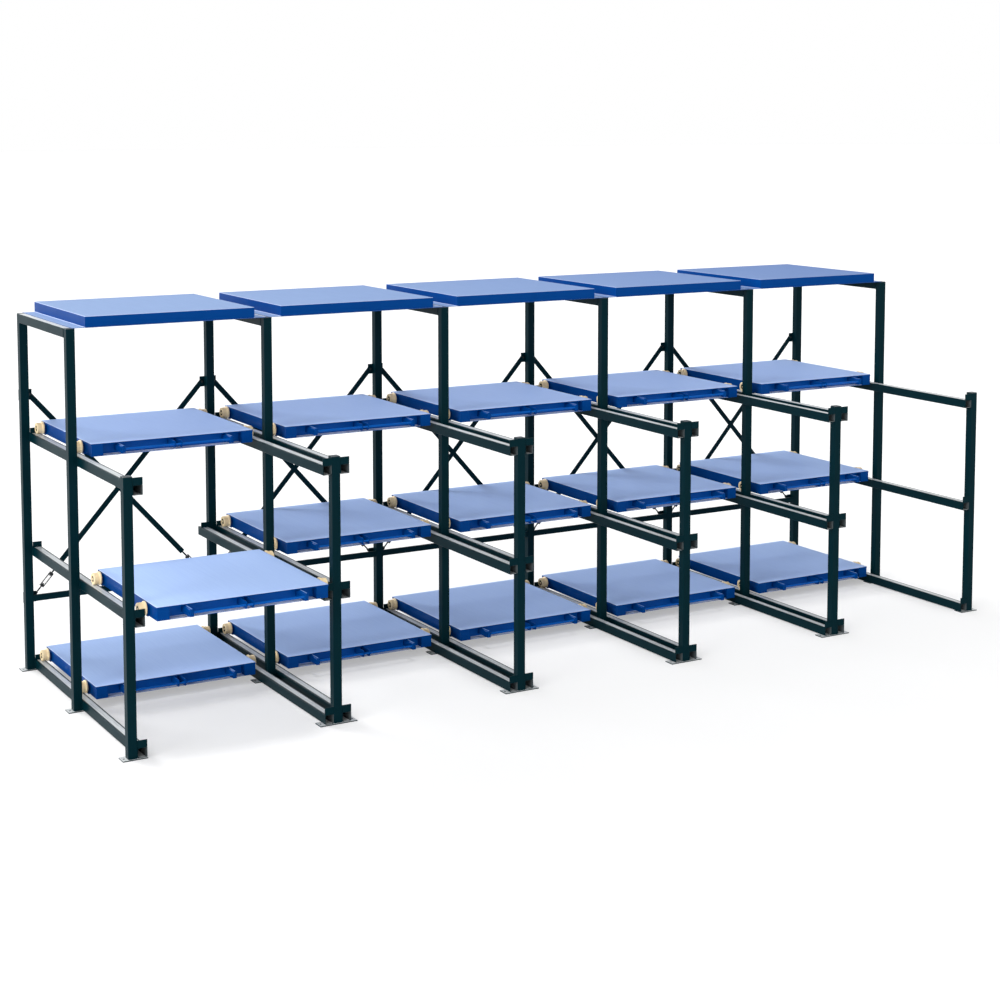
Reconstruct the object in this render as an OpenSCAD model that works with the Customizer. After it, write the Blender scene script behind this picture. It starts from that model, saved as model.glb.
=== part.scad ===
// Pull-out shelf rack: a row of bays between side frames. Each bay has three shelves
// that roll out to the front on side rails, and a fixed shelf on top.
// +X runs along the row, -Y is the front that the shelves pull out to, +Z is up.
// The origin is on the floor, at the middle of the footprint with one shelf pulled out.

/* [Rack] */
// Distance between neighbouring side frames, centre to centre
bay_pitch = 1085; // [900:5:1300]
// Distance from the rear uprights to the middle uprights, centre to centre
rear_depth = 850; // [750:5:1100]
// Distance from the middle uprights to the front uprights, centre to centre
front_depth = 850; // [700:5:1100]
// Height of the rear and middle uprights above the floor
rack_height = 2000; // [1850:5:2400]
// Height from one pull-out level to the next
level_pitch = 640; // [500:5:700]

/* [Uprights] */
// Width of an upright along the row
upright_w = 46; // [40:1:60]
// Depth of an upright from front to back
upright_d = 46; // [30:1:50]
// Wall of the upright tubes
upright_wall = 2; // [1.5:0.5:4]
// Thickness of the caps on the uprights
cap_t = 3; // [2:0.5:6]
// Height of a front upright above its top stop
front_rise = 6; // [4:1:30]

/* [Base plates] */
// Thickness of a base plate
base_t = 5; // [4:0.5:10]
// Depth of a base plate from front to back
base_d = 66; // [60:1:90]
// Length of a base plate past the rail or upright beside it
base_overhang = 30; // [24:1:50]
// Diameter of an anchor hole
anchor_d = 11; // [9:0.5:14]

/* [Rails and stops] */
// Width of a runner rail
rail_w = 50; // [45:1:60]
// Height of a runner rail
rail_h = 50; // [40:1:70]
// Wall of the runner rails
rail_wall = 2.5; // [2:0.5:4]
// Thickness of the stop plates
stop_t = 5; // [3:0.5:10]
// Height of the front stops above the rail
front_stop_h = 36; // [32:1:50]
// Height of the rear stops above the rail
rear_stop_h = 30; // [20:1:50]
// Gap between a roller and its stop at the end of the travel
stop_gap = 0.5; // [0.3:0.1:2]

/* [Top shelves] */
// Width of a top beam along the row
beam_w = 55; // [50:1:70]
// Height of a top beam
beam_h = 50; // [40:1:80]
// Wall of the top beams
beam_wall = 2.5; // [2:0.5:4]
// Offset of a top beam from the middle of its frame
beam_shift = 3; // [0:0.5:6]
// Height of a top shelf above the beams
top_deck_h = 59; // [40:1:90]
// Distance from the middle of a frame to the side of the top deck
top_deck_inset = 77; // [50:1:120]
// Distance from the middle of a frame to the edge of the top shelf's flange
top_flange_inset = 10; // [4:1:15]
// Depth of the folded lip below the front of a top shelf
top_lip = 6; // [3:1:12]

/* [Pull-out shelves] */
// Depth of a pull-out shelf from front to back
deck_depth = 875; // [750:5:950]
// Height of the edge of a pull-out shelf
deck_h = 68; // [60:1:90]
// Distance that a pull-out shelf hangs below the top of its rails
deck_drop = 5; // [0:1:12]
// Gap between a rail and the side of the shelf
side_gap = 22; // [18:1:40]
// Thickness of the shelf sheet
sheet = 2; // [1.5:0.5:4]
// Height of the rim round the top of a pull-out shelf
rim_h = 12; // [8:1:16]
// Set-back of the side panels under the rim
panel_inset = 3; // [2:0.5:4]
// Width of the corner plates on the front
corner_w = 62; // [30:1:90]
// Thickness of the corner plates on the front
corner_t = 1.5; // [1:0.5:3]
// Set-back of the front web between the corner plates
front_recess = 45; // [25:1:60]
// Height of the fold along the front edge
front_fold = 8; // [5:1:9]
// Number of stiffening channels under a pull-out shelf
stiffener_count = 3; // [2:1:4]
// Width of a stiffening channel
stiffener_w = 40; // [30:1:50]
// Height of a stiffening channel
stiffener_h = 28; // [20:1:35]

/* [Rollers] */
// Diameter of the running surface
tread_d = 60; // [50:1:64]
// Width of the running surface
tread_w = 29; // [25:1:34]
// Height of the guide flange above the running surface
flange_lip = 5; // [3:0.5:8]
// Width of the guide flange
flange_w = 10; // [8:0.5:12]
// Gap between the guide flange and the side of the rail
flange_gap = 3; // [2:0.5:5]
// Diameter of the stub axles
axle_d = 12; // [10:0.5:14]
// Distance from the front of the shelf to its front rollers
front_axle_inset = 135; // [100:1:170]
// Distance from the back of the shelf to its rear rollers
rear_axle_inset = 60; // [40:1:90]
// Thickness of the roller brackets
bracket_t = 5; // [4:0.5:7]
// Width of the roller brackets
bracket_w = 44; // [30:1:56]
// Length of the roller brackets below the shelf
bracket_drop = 4; // [0:1:8]

/* [Handle] */
// Distance from the side of the shelf to the middle of a handle lug
lug_inset = 150; // [100:1:220]
// Width of a handle lug
lug_w = 22; // [16:1:32]
// Height of a handle lug
lug_h = 38; // [30:1:40]
// Distance from the top of the shelf to the top of a handle lug
lug_drop = 11; // [10:1:14]
// Reach of the handle in front of the shelf
handle_reach = 75; // [65:1:100]
// Diameter of the grip bar
grip_d = 12; // [10:1:16]
// Distance between the two centre ears
ear_spacing = 37; // [30:1:120]
// Thickness of the centre ears
ear_t = 4.5; // [3:0.5:8]

/* [Bracing] */
// Height of the tie bars and of the lower brace pins
tie_height = 405; // [300:5:430]
// Height of the upper brace pins
brace_top = 1545; // [1500:5:1700]
// Width of a brace bar
bar_w = 30; // [24:1:40]
// Thickness of a brace bar
bar_t = 5; // [4:0.5:8]
// Diameter of the brace rods
rod_d = 9; // [7:0.5:10]
// Length of a turnbuckle
buckle_len = 95; // [80:1:120]
// Width of a turnbuckle
buckle_w = 26; // [24:1:34]
// Thickness of a brace bracket
plate_t = 4; // [3:0.5:8]
// Height of a tie bar
tie_h = 35; // [25:1:50]
// Depth of a tie bar
tie_d = 18; // [14:1:19]

/* [Hidden] */
$fn = 48;
bay_count = 5;
level_names = ["low", "mid", "high"];
// The shelf that stands pulled out to its front stops
out_bay = 0;
out_level = 1;

// Overshoot of a cut past the face that it opens
cut = 1;
// Hairline between the pieces of one welded or riveted unit
seam = 0.1;
// Running clearances
roll_gap = 0.3;
bore_gap = 0.05;
end_play = 0.5;
// Clearance of a bolt or rivet in its hole
hole_gap = 0.3;
// Outer radius of a bend, in wall thicknesses
bend_ratio = 1.5;
// Clearance of the grip bar and of the brace rods in their holes
fit_gap = 0.15;

frame_colour = "#1b2d34";
deck_colour = "#0b4a98";
roller_colour = "#f3d3a2";
bolt_colour = "#3c4448";

// Side frames and levels
last_frame = bay_count;
function frame_x(i) = (i - bay_count / 2) * bay_pitch;
function bay_x(b) = frame_x(b) + bay_pitch / 2;
function rail_top(l) = base_t + rail_h + l * level_pitch;
function has_rail(i, side) = side > 0 ? i < last_frame : i > 0;
levels = [0:len(level_names) - 1];
bays = [0:bay_count - 1];
frames = [0:last_frame];
sides = [-1, 1];
top_level = len(level_names) - 1;

// Fasteners
bolt_d = 8;
bolt_flats = 13;
bolt_head_t = 5.3;
bolt_nut_t = 5;
spacer_d = 16;
hex_r = bolt_flats / 2 / cos(30);
bolt_hole_d = bolt_d + 2 * hole_gap;

// Bracing behind the rear uprights: two planes of bars, one behind the other
bar_gap = 0.5;
pin_clear = 13;
pin_inset = upright_w / 2 + pin_clear;
plate_edge = 14;
plate_wing = pin_inset + plate_edge;
plate_h = 60;
eye_relief = 4;
eye_d = bar_w - eye_relief;
rear_face = rear_depth + upright_d / 2;
bar_plane = [rear_face + plate_t + bar_t / 2, rear_face + plate_t + bar_t + bar_gap + bar_t / 2];
pin_end = bar_plane[1] + bar_t / 2 + bolt_nut_t;
brace_dx = bay_pitch - 2 * pin_inset;
brace_dz = brace_top - tie_height;
brace_len = norm([brace_dx, brace_dz]);
brace_angle = atan2(brace_dz, brace_dx);
eye_to_buckle = 67;
// The flat neck of an eye rod reaches past the edge of its bracket
neck_len = plate_edge / cos(brace_angle) + rod_d;
neck_edge = 3;
neck_w = rod_d + 2 * neck_edge;
buckle_to_bar = 36;
buckle_cover = 2;
buckle_t = rod_d + 2 * buckle_cover;
buckle_boss = 16;
buckle_side = 5;
bar_start = eye_to_buckle + buckle_len + buckle_to_bar;
rod_end = 6;
rod_grip = buckle_boss + rod_end;

// Rollers and their travel, measured from the middle uprights
tread_r = tread_d / 2;
flange_r = tread_r + flange_lip;
axle_z = tread_r + roll_gap;
roller_w = flange_w + tread_w;
front_stop_face = -front_depth - upright_d / 2 + stop_t;
rear_stop_face = rear_depth - upright_d / 2 - stop_t;
deck_front_in = rear_stop_face - stop_gap - tread_r + rear_axle_inset - deck_depth;
front_axle_out = front_stop_face + stop_gap + tread_r;
travel = deck_front_in + front_axle_inset - front_axle_out;
deck_front_out = deck_front_in - travel;

// The footprint is centred on the origin, which sets the place of the middle uprights
front_reach = max(handle_reach - deck_front_out, front_depth + base_d / 2);
rear_reach = max(pin_end, rear_depth + base_d / 2);
mid_y = (front_reach - rear_reach) / 2;
rear_y = mid_y + rear_depth;
front_y = mid_y - front_depth;
post_y = [rear_y, mid_y, front_y];
rail_out = upright_w / 2 + rail_w;
rail_len = rear_depth + front_depth + upright_d;
front_height = rail_top(top_level) + front_stop_h + front_rise;

// Pull-out shelf, measured from the middle of its front edge at the height of the rail tops
deck_half = bay_pitch / 2 - rail_out - side_gap;
deck_top = deck_h - deck_drop;
panel_half = deck_half - panel_inset;
axle_rows = [front_axle_inset, deck_depth - rear_axle_inset];
bracket_face = panel_half + seam + bracket_t;
flange_face = deck_half + side_gap - flange_gap - flange_w;
collar_len = flange_face - end_play - bracket_face - seam;
collar_step = 5;
collar_d = axle_d + 2 * collar_step;
rivet_step = 1;
rivet_d = axle_d - 2 * rivet_step;
rivet_head_t = 4;
head_step = 9;
axle_head_d = axle_d + 2 * head_step;
axle_head_t = 4;
head_clear = 2;
recess_d = axle_head_d + 2 * head_clear;
head_sink = 1.5;
recess_depth = axle_head_t + head_sink;
roller_edge = 2;
stiffener_end_gap = 14;
lug_wall = 3;
grip_wall = 2;
grip_nose = 3;
// Lugs and ears reach from the front web past the front edge
lug_len = handle_reach + front_recess - seam;
lug_low = deck_top - lug_drop - lug_h;
grip_y = -handle_reach + grip_nose + grip_d / 2;
grip_z = lug_low + lug_h / 2;

function shelf_name(b, l) = str("bay", b + 1, "_", level_names[l], "_shelf");
function front_rollers_name(b, l) = str("bay", b + 1, "_", level_names[l], "_front_rollers");
function rear_rollers_name(b, l) = str("bay", b + 1, "_", level_names[l], "_rear_rollers");

// Rectangle with true round corners
module round_rect(w, d, r) {
    square([w - 2 * r, d], center = true);
    square([w, d - 2 * r], center = true);
    for (x = sides, y = sides)
        translate([x * (w / 2 - r), y * (d / 2 - r)])
            circle(r);
}

// Outer radius of a bend in sheet or tube of this wall
function bend_r(wall) = wall * bend_ratio;

// Section of a rectangular tube with bent corners
module tube_section(w, d, wall) {
    difference() {
        round_rect(w, d, bend_r(wall));
        round_rect(w - 2 * wall, d - 2 * wall, bend_r(wall) - wall);
    }
}

// Round bar along +X from the origin
module bar_x(d, len) {
    rotate([0, 90, 0])
        cylinder(d = d, h = len);
}

// Round bar along +Y from the origin
module bar_y(d, len) {
    rotate([-90, 0, 0])
        cylinder(d = d, h = len);
}

// Hexagon along +X from the origin
module hex_x(len) {
    rotate([0, 90, 0])
        cylinder(r = hex_r, h = len, $fn = 6);
}

module upright(top) {
    translate([0, 0, base_t])
        linear_extrude(top - cap_t - base_t)
            tube_section(upright_w, upright_d, upright_wall);
}

module rear_uprights() {
    color(frame_colour)
        for (i = frames)
            translate([frame_x(i), rear_y, 0])
                upright(rack_height);
}

module middle_uprights() {
    color(frame_colour)
        for (i = frames)
            translate([frame_x(i), mid_y, 0])
                upright(rack_height);
}

module front_uprights() {
    color(frame_colour)
        for (i = frames)
            translate([frame_x(i), front_y, 0])
                upright(front_height);
}

module upright_caps() {
    color(frame_colour)
        for (i = frames, y = post_y)
            translate([frame_x(i), y, (y == front_y ? front_height : rack_height) - cap_t])
                linear_extrude(cap_t)
                    round_rect(upright_w, upright_d, bend_r(upright_wall));
}

// Reach of a base plate from the middle of frame i to one side: past the rail between two bays,
// past the upright at the end of the row, and level with the rail on an end frame's bay side
function base_reach(i, side) =
    !has_rail(i, side) ? upright_w / 2 + base_overhang :
    has_rail(i, -side) ? rail_out + base_overhang : rail_out;
function has_anchor(i, side) = !has_rail(i, side) || has_rail(i, -side);

module base_plate(i) {
    left = base_reach(i, -1);
    right = base_reach(i, 1);
    difference() {
        translate([-left, -base_d / 2, 0])
            cube([left + right, base_d, base_t]);
        for (side = sides)
            if (has_anchor(i, side))
                translate([side * (base_reach(i, side) - base_overhang / 2), 0, -cut])
                    cylinder(d = anchor_d, h = base_t + 2 * cut);
    }
}

module base_plates() {
    color(frame_colour)
        for (i = frames, y = post_y)
            translate([frame_x(i), y, 0])
                base_plate(i);
}

// Places its children at the middle of every rail's width, at the rail's top
module at_rails() {
    for (i = frames, side = sides, l = levels)
        if (has_rail(i, side))
            translate([frame_x(i) + side * (upright_w + rail_w) / 2, 0, rail_top(l)])
                children();
}

module runner_rail() {
    translate([0, rear_y + upright_d / 2, -rail_h / 2])
        rotate([90, 0, 0])
            linear_extrude(rail_len)
                tube_section(rail_w, rail_h, rail_wall);
}

module runner_rails() {
    color(frame_colour)
        at_rails()
            runner_rail();
}

module front_stops() {
    color(frame_colour)
        at_rails()
            translate([-rail_w / 2, front_y - upright_d / 2, 0])
                cube([rail_w, stop_t, front_stop_h]);
}

module rear_stops() {
    color(frame_colour)
        at_rails()
            translate([-rail_w / 2, mid_y + rear_stop_face, 0])
                cube([rail_w, stop_t, rear_stop_h]);
}

module top_beams() {
    color(frame_colour)
        for (i = frames)
            translate([frame_x(i) + beam_shift, rear_y - upright_d / 2, rack_height - beam_h / 2])
                rotate([90, 0, 0])
                    linear_extrude(rear_depth - upright_d)
                        tube_section(beam_w, beam_h, beam_wall);
}

// Hat-shaped tray: a deep deck between two flanges that lie on the beams
module top_shelf() {
    flange_half = bay_pitch / 2 - top_flange_inset;
    half = bay_pitch / 2 - top_deck_inset;
    depth = rear_depth + upright_d;
    difference() {
        union() {
            translate([-flange_half, 0, 0])
                cube([2 * flange_half, depth, sheet]);
            translate([-half, 0, 0])
                cube([2 * half, depth, top_deck_h]);
            translate([-half, -top_lip, 0])
                cube([2 * half, top_lip + sheet, sheet]);
        }
        translate([sheet - half, sheet, -cut])
            cube([2 * (half - sheet), depth - 2 * sheet, top_deck_h - sheet + cut]);
    }
}

module top_shelves() {
    color(deck_colour)
        for (b = bays)
            translate([bay_x(b), mid_y - upright_d / 2, rack_height])
                top_shelf();
}

// Places its children on both diagonals of every bay, from the lower pin along +X to the upper pin
module at_braces() {
    for (b = bays, k = [0, 1])
        translate([frame_x(b + k) + (1 - 2 * k) * pin_inset, mid_y + bar_plane[k], tie_height])
            rotate([0, k == 0 ? -brace_angle : brace_angle - 180, 0])
                children();
}

module brace_bar() {
    difference() {
        union() {
            translate([bar_start, -bar_t / 2, -bar_w / 2])
                cube([brace_len - bar_start, bar_t, bar_w]);
            translate([brace_len, -bar_t / 2, 0])
                bar_y(bar_w, bar_t);
            translate([bar_start - buckle_to_bar - rod_grip, 0, 0])
                bar_x(rod_d, buckle_to_bar + 2 * rod_grip);
        }
        translate([brace_len, -bar_t / 2 - cut, 0])
            bar_y(bolt_hole_d, bar_t + 2 * cut);
    }
}

module brace_bars() {
    color(frame_colour)
        at_braces()
            brace_bar();
}

module turnbuckle() {
    difference() {
        translate([eye_to_buckle, -buckle_t / 2, -buckle_w / 2])
            cube([buckle_len, buckle_t, buckle_w]);
        translate([eye_to_buckle + buckle_boss, -buckle_t / 2 - cut, -buckle_w / 2 + buckle_side])
            cube([buckle_len - 2 * buckle_boss, buckle_t + 2 * cut, buckle_w - 2 * buckle_side]);
        translate([eye_to_buckle - cut, 0, 0])
            bar_x(rod_d + 2 * fit_gap, buckle_len + 2 * cut);
    }
}

module eye_rod() {
    difference() {
        union() {
            translate([0, -bar_t / 2, 0])
                bar_y(eye_d, bar_t);
            translate([0, -bar_t / 2, -neck_w / 2])
                cube([neck_len, bar_t, neck_w]);
            translate([neck_len - cut, 0, 0])
                bar_x(rod_d, eye_to_buckle + rod_grip - neck_len + cut);
        }
        translate([0, -bar_t / 2 - cut, 0])
            bar_y(bolt_hole_d, bar_t + 2 * cut);
    }
}

module brace_turnbuckles() {
    color(bolt_colour)
        at_braces() {
            turnbuckle();
            eye_rod();
        }
}

module tie_bars() {
    color(frame_colour)
        for (b = bays)
            translate([frame_x(b) + upright_w / 2, rear_y - upright_d / 2 + tie_d / 2, tie_height])
                rotate([90, 0, 90])
                    linear_extrude(bay_pitch - upright_w)
                        tube_section(tie_d, tie_h, upright_wall);
}

module brace_bracket(i) {
    left = has_rail(i, -1) ? plate_wing : upright_w / 2;
    right = has_rail(i, 1) ? plate_wing : upright_w / 2;
    difference() {
        translate([-left, 0, -plate_h / 2])
            cube([left + right, plate_t, plate_h]);
        for (side = sides)
            if (has_rail(i, side))
                translate([side * pin_inset, -cut, 0])
                    bar_y(bolt_hole_d, plate_t + 2 * cut);
    }
}

module brace_brackets() {
    color(frame_colour)
        for (i = frames, z = [tie_height, brace_top])
            translate([frame_x(i), mid_y + rear_face, z])
                brace_bracket(i);
}

// Pin of a brace in plane k: a bolt from the front, with a spacer up to the rear plane
module brace_pin(k) {
    stack = bar_plane[k] + bar_t / 2 - rear_face;
    translate([0, -bolt_head_t, 0])
        rotate([0, 0, 90])
            hex_x(bolt_head_t);
    bar_y(bolt_d, stack + bolt_nut_t);
    if (k == 1)
        translate([0, plate_t, 0])
            bar_y(spacer_d, bar_t + bar_gap);
    translate([0, stack, 0])
        rotate([0, 0, 90])
            hex_x(bolt_nut_t);
}

module frame_bolts() {
    color(bolt_colour)
        for (b = bays, k = [0, 1], end = [0, 1])
            translate([bay_x(b) + (k == end ? -1 : 1) * brace_dx / 2,
                       mid_y + rear_face,
                       end == 0 ? tie_height : brace_top])
                brace_pin(k);
}

// Places its children at the four axles of a shelf, with +X pointing out from its side
module at_axles(rows) {
    for (y = rows) {
        translate([0, y, axle_z])
            children();
        translate([0, y, axle_z])
            mirror([1, 0, 0])
                children();
    }
}

module deck_tray() {
    bottom = -deck_drop;
    inner_half = panel_half - sheet;
    mouth_half = panel_half - corner_w;
    pocket_w = corner_w - 2 * sheet;
    difference() {
        union() {
            translate([-deck_half, 0, deck_top - rim_h])
                cube([2 * deck_half, deck_depth, rim_h]);
            translate([-panel_half, 0, bottom])
                cube([2 * panel_half, deck_depth, deck_h]);
            for (side = sides)
                translate([side * (panel_half - corner_w / 2) - corner_w / 2, -corner_t, bottom])
                    cube([corner_w, corner_t + sheet, deck_h - rim_h]);
        }
        // Open underside behind the front web, and the hollow behind each corner plate
        translate([-inner_half, front_recess + sheet, bottom - cut])
            cube([2 * inner_half, deck_depth - front_recess - 2 * sheet, deck_h - sheet + cut]);
        for (side = sides)
            translate([side * (inner_half - pocket_w / 2) - pocket_w / 2, sheet, bottom - cut])
                cube([pocket_w, front_recess + cut, deck_h - sheet + cut]);
        // Channel along the front, between the fold of the deck and the bottom flange
        translate([-mouth_half, sheet, bottom + sheet])
            cube([2 * mouth_half, front_recess - sheet, deck_h - 2 * sheet]);
        translate([-mouth_half, -cut, bottom + sheet])
            cube([2 * mouth_half, sheet + 2 * cut, deck_h - sheet - front_fold]);
        at_axles(axle_rows)
            translate([inner_half - cut, 0, 0])
                bar_x(rivet_d + 2 * hole_gap, sheet + 2 * cut);
    }
}

module stiffeners() {
    len = 2 * (panel_half - sheet - stiffener_end_gap);
    step = deck_depth / (stiffener_count + 1);
    for (k = [1:stiffener_count])
        translate([-len / 2, k * step - stiffener_w / 2, deck_top - sheet - seam - stiffener_h])
            difference() {
                cube([len, stiffener_w, stiffener_h]);
                translate([-cut, sheet, sheet])
                    cube([len + 2 * cut, stiffener_w - 2 * sheet, stiffener_h]);
            }
}

module roller_brackets() {
    low = -deck_drop - bracket_drop - axle_z;
    high = deck_top - rim_h - seam - axle_z;
    at_axles(axle_rows)
        difference() {
            translate([panel_half + seam, -bracket_w / 2, low])
                cube([bracket_t, bracket_w, high - low]);
            translate([panel_half, 0, 0])
                bar_x(rivet_d + 2 * hole_gap, bracket_t + 2 * cut);
        }
}

// Stub axle: rivet through panel and bracket, collar, journal and head
module stub_axle() {
    inside = panel_half - sheet - seam;
    collar = bracket_face + seam;
    journal = collar + collar_len;
    head = flange_face + roller_w - recess_depth + end_play;
    translate([inside - rivet_head_t, 0, 0])
        bar_x(collar_d, rivet_head_t);
    translate([inside - rivet_head_t, 0, 0])
        bar_x(rivet_d, collar - inside + rivet_head_t + cut);
    translate([collar, 0, 0])
        bar_x(collar_d, collar_len);
    translate([journal - cut, 0, 0])
        bar_x(axle_d, head - journal + 2 * cut);
    translate([head, 0, 0])
        bar_x(axle_head_d, axle_head_t);
}

module handle_lugs() {
    inner_w = lug_w - 2 * lug_wall;
    for (side = sides)
        translate([side * (deck_half - lug_inset), 0, 0])
            difference() {
                translate([-lug_w / 2, -handle_reach, lug_low])
                    cube([lug_w, lug_len, lug_h]);
                translate([-inner_w / 2, lug_wall - handle_reach, lug_low - cut])
                    cube([inner_w, lug_len - 2 * lug_wall, lug_h - lug_wall + cut]);
                translate([-lug_w / 2 - cut, grip_y, grip_z])
                    bar_x(grip_d + 2 * fit_gap, lug_w + 2 * cut);
            }
}

module grip_bar() {
    len = 2 * (deck_half - lug_inset) + lug_w;
    translate([-len / 2, grip_y, grip_z])
        difference() {
            bar_x(grip_d, len);
            translate([-cut, 0, 0])
                bar_x(grip_d - 2 * grip_wall, len + 2 * cut);
        }
}

module centre_ears() {
    for (side = sides)
        translate([side * ear_spacing / 2 - ear_t / 2, 0, 0])
            difference() {
                translate([0, -handle_reach, lug_low])
                    cube([ear_t, lug_len, lug_h]);
                translate([-cut, grip_y, grip_z])
                    bar_x(grip_d + 2 * fit_gap, ear_t + 2 * cut);
            }
}

// Place of a shelf in its bay: pushed in, or pulled out for the one that is shown so
module at_shelf(b, l) {
    pulled_out = b == out_bay && l == out_level;
    translate([bay_x(b), mid_y + (pulled_out ? deck_front_out : deck_front_in), rail_top(l)])
        children();
}

module pull_out_shelf(b, l) {
    color(deck_colour)
        at_shelf(b, l) {
            deck_tray();
            stiffeners();
            roller_brackets();
            at_axles(axle_rows)
                stub_axle();
            handle_lugs();
            grip_bar();
            centre_ears();
        }
}

// Flanged roller along +X from its flange face
module roller() {
    rotate([0, 90, 0])
        rotate_extrude()
            polygon([
                [axle_d / 2 + bore_gap, 0],
                [flange_r - roller_edge, 0],
                [flange_r, roller_edge],
                [flange_r, flange_w - roller_edge],
                [tread_r, flange_w],
                [tread_r, roller_w - roller_edge],
                [tread_r - roller_edge, roller_w],
                [recess_d / 2, roller_w],
                [recess_d / 2, roller_w - recess_depth],
                [axle_d / 2 + bore_gap, roller_w - recess_depth]
            ]);
}

module roller_pair(b, l, row) {
    color(roller_colour)
        at_shelf(b, l)
            at_axles([row])
                translate([flange_face, 0, 0])
                    roller();
}

module front_rollers(b, l) {
    roller_pair(b, l, axle_rows[0]);
}

module rear_rollers(b, l) {
    roller_pair(b, l, axle_rows[1]);
}

rear_uprights();
middle_uprights();
front_uprights();
upright_caps();
base_plates();
runner_rails();
front_stops();
rear_stops();
top_beams();
top_shelves();
brace_bars();
brace_turnbuckles();
tie_bars();
brace_brackets();
frame_bolts();
for (b = bays, l = levels) {
    pull_out_shelf(b, l);
    front_rollers(b, l);
    rear_rollers(b, l);
}
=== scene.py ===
# %% [markdown]
# # A pull-out shelf rack
# The rack is a row of five bays between six steel side frames. Every bay has three shelves that roll out to
# the front on side rails, and a fixed shelf on top. The exact solids already exist, so this lesson loads them
# as a fixed frame and dresses them: sheet steel gets its bends, turned pieces get their edges, and every
# surface gets the finish that the real one has, with light and shade painted into some of the colours. The
# frame comes first, because all places are read from it.

# %% Load the fixed frame
import math

import bmesh
import bpy
from mathutils import Matrix, Vector


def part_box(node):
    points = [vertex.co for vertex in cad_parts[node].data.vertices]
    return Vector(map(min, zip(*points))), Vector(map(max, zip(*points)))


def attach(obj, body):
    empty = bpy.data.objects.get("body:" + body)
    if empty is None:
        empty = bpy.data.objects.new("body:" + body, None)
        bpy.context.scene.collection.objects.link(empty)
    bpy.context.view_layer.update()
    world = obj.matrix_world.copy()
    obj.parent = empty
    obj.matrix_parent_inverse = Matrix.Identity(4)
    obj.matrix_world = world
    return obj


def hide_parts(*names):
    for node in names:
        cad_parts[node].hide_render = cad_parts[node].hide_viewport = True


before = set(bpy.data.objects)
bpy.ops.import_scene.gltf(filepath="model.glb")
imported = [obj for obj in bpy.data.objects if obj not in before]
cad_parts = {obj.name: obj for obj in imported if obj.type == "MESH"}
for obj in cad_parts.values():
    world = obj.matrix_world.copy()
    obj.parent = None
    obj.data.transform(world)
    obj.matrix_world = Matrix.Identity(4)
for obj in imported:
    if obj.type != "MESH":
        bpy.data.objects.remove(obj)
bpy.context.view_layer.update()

# %% [markdown]
# ## The sizes that the pieces share
# All sizes are in millimetres, as on a workshop drawing, and one factor turns them to Blender's metres. A new
# piece has to lie exactly where its solid lies, so these are the sizes of the solids. Where a shelf, a cap or
# a roller stands is not written down again: it is read from the frame.

# %% Sizes and places
MM = 0.001
BAY_PITCH, BAYS, LEVELS = 1085, 5, ("low", "mid", "high")
SHEET = 2
UPRIGHT_W, UPRIGHT_D = 46, 46
RAIL_X, RAIL_Z, RAIL_H, LEVEL_PITCH = 48, 30, 50, 640
DECK_HALF, DECK_DEPTH, DECK_TOP, DECK_BOTTOM = 447.5, 875, 63, -5


def mid_of(low, high):
    return (low + high) / 2


shelves = [f"bay{bay + 1}_{level}" for bay in range(BAYS) for level in LEVELS]
frame_xs = [(i - BAYS / 2) * BAY_PITCH for i in range(BAYS + 1)]
bay_xs = [(i - (BAYS - 1) / 2) * BAY_PITCH for i in range(BAYS)]
post_ys = {}
for row in ("rear", "middle", "front"):
    low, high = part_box(row + "_uprights")
    post_ys[row] = mid_of(low.y, high.y) / MM
print("shelves:", len(shelves), "rows of uprights at y =", {k: round(v, 2) for k, v in post_ys.items()})

# %% [markdown]
# ## Tools for selecting
# Modelling by hand means: add a primitive, go into edit mode, select by sight, press a key. In a script the
# eye is replaced by a small test on the place or the direction of a face or an edge. The helpers below do
# only that, and the shaping itself stays with Blender's own operators. Everything is deselected first,
# because an operator acts on all that is selected.

# %% Select


def deselect_all():
    if bpy.context.object and bpy.context.object.mode != "OBJECT":
        bpy.ops.object.mode_set(mode="OBJECT")
    bpy.ops.object.select_all(action="DESELECT")


def make_active(piece):
    deselect_all()
    piece.select_set(True)
    bpy.context.view_layer.objects.active = piece


def open_to_pick(piece, kind):
    """Opens edit mode for faces or edges, with nothing selected."""
    make_active(piece)
    bpy.ops.object.mode_set(mode="EDIT")
    bpy.ops.mesh.select_mode(type=kind)
    bpy.ops.mesh.select_all(action="DESELECT")
    return bmesh.from_edit_mesh(piece.data)


def pick_faces(piece, test):
    """Opens edit mode with the faces selected whose centre (mm) and normal pass the test."""
    mesh = open_to_pick(piece, "FACE")
    for face in mesh.faces:
        face.select_set(test(face.calc_center_median() / MM, face.normal))
    bmesh.update_edit_mesh(piece.data)


def pick_edges(piece, test):
    """Opens edit mode with the edges selected whose two ends (mm) pass the test."""
    mesh = open_to_pick(piece, "EDGE")
    for edge in mesh.edges:
        if test(edge.verts[0].co / MM, edge.verts[1].co / MM):
            edge.select_set(True)
    bmesh.update_edit_mesh(piece.data)


def done(piece):
    """Leaves edit mode with only this piece selected."""
    make_active(piece)
    return piece


print("selecting faces and edges, with places in millimetres")

# %% [markdown]
# ## Tests for faces and edges
# A face counts as facing an axis, and an edge as running along it, from a certain cosine on. Two places count
# as one when they are close, and a test that has to clear its neighbours gets a margin.

# %% Tests
FACING, STRAIGHT = 0.9, 0.999
CLOSE, MARGIN = 0.02, 1
X, Y, Z = range(3)


def near(value, target):
    return abs(value - target) < CLOSE


def facing_down(centre, normal):
    return normal.z < -FACING


def along(axis):
    """A test for edges that run along one axis."""
    return lambda a, b: abs((a - b).normalized()[axis]) > STRAIGHT


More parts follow.
